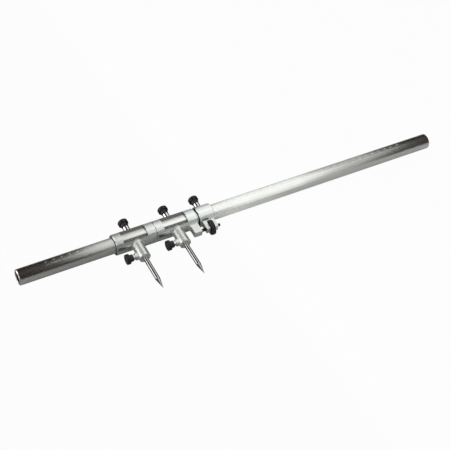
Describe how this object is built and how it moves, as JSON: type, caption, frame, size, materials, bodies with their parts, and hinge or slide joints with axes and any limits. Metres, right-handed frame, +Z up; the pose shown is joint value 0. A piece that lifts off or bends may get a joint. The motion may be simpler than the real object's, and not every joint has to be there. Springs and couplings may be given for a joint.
{
  "type": "beam caliper",
  "caption": "Beam caliper: round graduated tube carrying sliders with steel points, screw clamps and a thumbwheel fine adjuster, for measuring and scribing long distances.",
  "frame": {"origin": "on the surface that the caliper lies on, under the middle of its box", "axes": "+X along the tube from the left end to the right end, +Z up, the points towards -Y"},
  "size_m": [0.585, 0.1138, 0.0261],
  "materials": {
    "beam_chrome": "satin chrome with engraved graduations",
    "matt_chrome": "matt chrome, fine blasted",
    "point_steel": "ground and polished hardened steel",
    "bush_nickel": "bright nickel",
    "knob_black": "black moulded plastic, knurled rim",
    "wheel_black": "black, knurled rim",
    "black_oxide": "black oxide thread",
    "screw_steel": "turned steel",
    "pad_brass": "turned brass"
  },
  "bodies": {
    "beam": {"beam_tube": "beam_chrome"},
    "left_slider": {"left_slider": "matt_chrome", "left_clamp_bush": "bush_nickel", "left_point_bush": "bush_nickel", "left_guide_key": "screw_steel", "left_key_screw": "screw_steel"},
    "right_slider": {"right_slider": "matt_chrome", "right_clamp_bush": "bush_nickel", "right_point_bush": "bush_nickel", "right_guide_key": "screw_steel", "right_key_screw": "screw_steel", "adjuster_spindle": "black_oxide", "spindle_lock_screw": "screw_steel"},
    "collar": {"adjuster_collar": "matt_chrome", "collar_clamp_bush": "bush_nickel", "collar_guide_key": "screw_steel", "collar_key_screw": "screw_steel"},
    "wheel": {"adjuster_wheel": "wheel_black"},
    "left_point": {"left_point": "point_steel"},
    "right_point": {"right_point": "point_steel"},
    "left_clamp_pad": {"left_clamp_pad": "pad_brass"},
    "left_clamp_knob": {"left_clamp_knob": "knob_black", "left_clamp_stud": "screw_steel"},
    "right_clamp_pad": {"right_clamp_pad": "pad_brass"},
    "right_clamp_knob": {"right_clamp_knob": "knob_black", "right_clamp_stud": "screw_steel"},
    "collar_clamp_pad": {"collar_clamp_pad": "pad_brass"},
    "collar_clamp_knob": {"collar_clamp_knob": "knob_black", "collar_clamp_stud": "screw_steel"},
    "left_point_pad": {"left_point_pad": "pad_brass"},
    "left_point_knob": {"left_point_knob": "knob_black", "left_point_stud": "screw_steel"},
    "right_point_pad": {"right_point_pad": "pad_brass"},
    "right_point_knob": {"right_point_knob": "knob_black", "right_point_stud": "screw_steel"}
  },
  "joints": [
    {"name": "left_slide", "type": "slide", "parent": "beam", "child": "left_slider", "axis": [1, 0, 0], "range_m": [-0.118, 0]},
    {"name": "collar_slide", "type": "slide", "parent": "beam", "child": "collar", "axis": [1, 0, 0], "range_m": [0, 0.327]},
    {"name": "fine_adjust", "type": "slide", "parent": "collar", "child": "right_slider", "axis": [1, 0, 0], "range_m": [0, 0.0021]},
    {"name": "wheel_turn", "type": "hinge", "parent": "collar", "child": "wheel", "pos_m": [-0.0485, 0.00412, 0.0098], "axis": [-1, 0, 0], "range_deg": [0, 1081]},
    {"name": "left_point_slide", "type": "slide", "parent": "left_slider", "child": "left_point", "axis": [0, -0.9892, -0.1466], "range_m": [-0.0014, 0.01]},
    {"name": "right_point_slide", "type": "slide", "parent": "right_slider", "child": "right_point", "axis": [0, -0.9892, -0.1466], "range_m": [-0.0014, 0.01]},
    {"name": "left_clamp_travel", "type": "slide", "parent": "left_slider", "child": "left_clamp_pad", "axis": [0, 0.9892, 0.1466], "range_m": [0, 0.0014]},
    {"name": "left_clamp_turn", "type": "hinge", "parent": "left_clamp_pad", "child": "left_clamp_knob", "pos_m": [-0.14525, 0.02588, 0.01303], "axis": [0, 0.9892, 0.1466], "range_deg": [0, 721]},
    {"name": "right_clamp_travel", "type": "slide", "parent": "right_slider", "child": "right_clamp_pad", "axis": [0, 0.9892, 0.1466], "range_m": [0, 0.0014]},
    {"name": "right_clamp_turn", "type": "hinge", "parent": "right_clamp_pad", "child": "right_clamp_knob", "pos_m": [-0.09115, 0.02588, 0.01303], "axis": [0, 0.9892, 0.1466], "range_deg": [0, 721]},
    {"name": "collar_clamp_travel", "type": "slide", "parent": "collar", "child": "collar_clamp_pad", "axis": [0, 0.9892, 0.1466], "range_m": [0, 0.0014]},
    {"name": "collar_clamp_turn", "type": "hinge", "parent": "collar_clamp_pad", "child": "collar_clamp_knob", "pos_m": [-0.0485, 0.02588, 0.01303], "axis": [0, 0.9892, 0.1466], "range_deg": [0, 721]},
    {"name": "left_point_travel", "type": "slide", "parent": "left_slider", "child": "left_point_pad", "axis": [-1, 0, 0], "range_m": [0, 0.0014]},
    {"name": "left_point_turn", "type": "hinge", "parent": "left_point_pad", "child": "left_point_knob", "pos_m": [-0.14375, -0.00086, 0.00907], "axis": [-1, 0, 0], "range_deg": [0, 721]},
    {"name": "right_point_travel", "type": "slide", "parent": "right_slider", "child": "right_point_pad", "axis": [-1, 0, 0], "range_m": [0, 0.0014]},
    {"name": "right_point_turn", "type": "hinge", "parent": "right_point_pad", "child": "right_point_knob", "pos_m": [-0.08965, -0.00086, 0.00907], "axis": [-1, 0, 0], "range_deg": [0, 721]}
  ],
  "couplings": [
    {"joint": "wheel_turn", "follows": "fine_adjust", "rad_per_m": 8976},
    {"joint": "left_clamp_turn", "follows": "left_clamp_travel", "rad_per_m": 8976},
    {"joint": "right_clamp_turn", "follows": "right_clamp_travel", "rad_per_m": 8976},
    {"joint": "collar_clamp_turn", "follows": "collar_clamp_travel", "rad_per_m": 8976},
    {"joint": "left_point_turn", "follows": "left_point_travel", "rad_per_m": 8976},
    {"joint": "right_point_turn", "follows": "right_point_travel", "rad_per_m": 8976}
  ]
}
